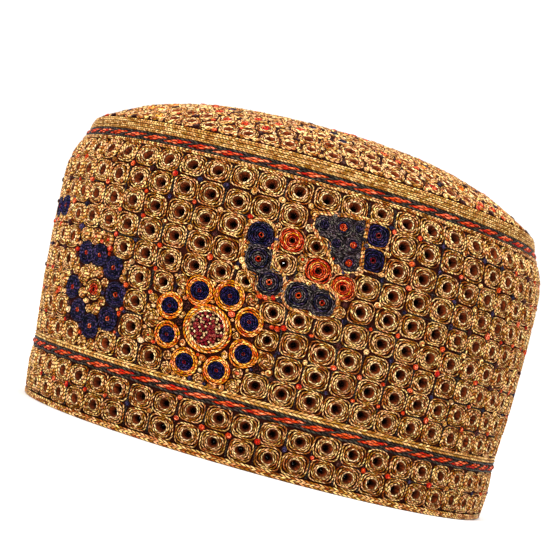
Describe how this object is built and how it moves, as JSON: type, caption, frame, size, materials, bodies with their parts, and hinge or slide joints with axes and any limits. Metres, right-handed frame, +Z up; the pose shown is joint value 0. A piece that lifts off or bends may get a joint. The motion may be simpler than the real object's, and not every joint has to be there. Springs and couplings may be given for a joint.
{
  "type": "embroidered cap",
  "caption": "Tall oval embroidered prayer cap with a low domed crown, an eyeleted brim and couched cords.",
  "frame": {"origin": "centre of the bounding box on the surface that the binding stands on", "axes": "+Z up through the crown, +X along the longer axis of the oval mouth, -Y towards the side seen in the picture"},
  "size_m": [0.1968, 0.1676, 0.1305],
  "materials": {
    "cloth": "dense gold and tan embroidery on doubled cotton",
    "binding": "gold thread whipped over a rolled edge",
    "gold_thread": "twisted gold silk cord",
    "black_thread": "twisted black silk cord",
    "red_thread": "plaited red silk cord"
  },
  "bodies": {
    "root": {"rim_binding": "binding", "side_band": "cloth", "crown": "cloth", "lower_black_cord_bottom": "black_thread", "lower_red_braid": "red_thread", "lower_black_cord_top": "black_thread", "lower_gold_cord": "gold_thread", "upper_gold_cord": "gold_thread", "upper_black_cord_bottom": "black_thread", "upper_red_braid": "red_thread", "upper_black_cord_top": "black_thread", "shoulder_gold_cord_bottom": "gold_thread", "shoulder_gold_cord_middle": "gold_thread", "shoulder_gold_cord_top": "gold_thread"}
  },
  "joints": []
}
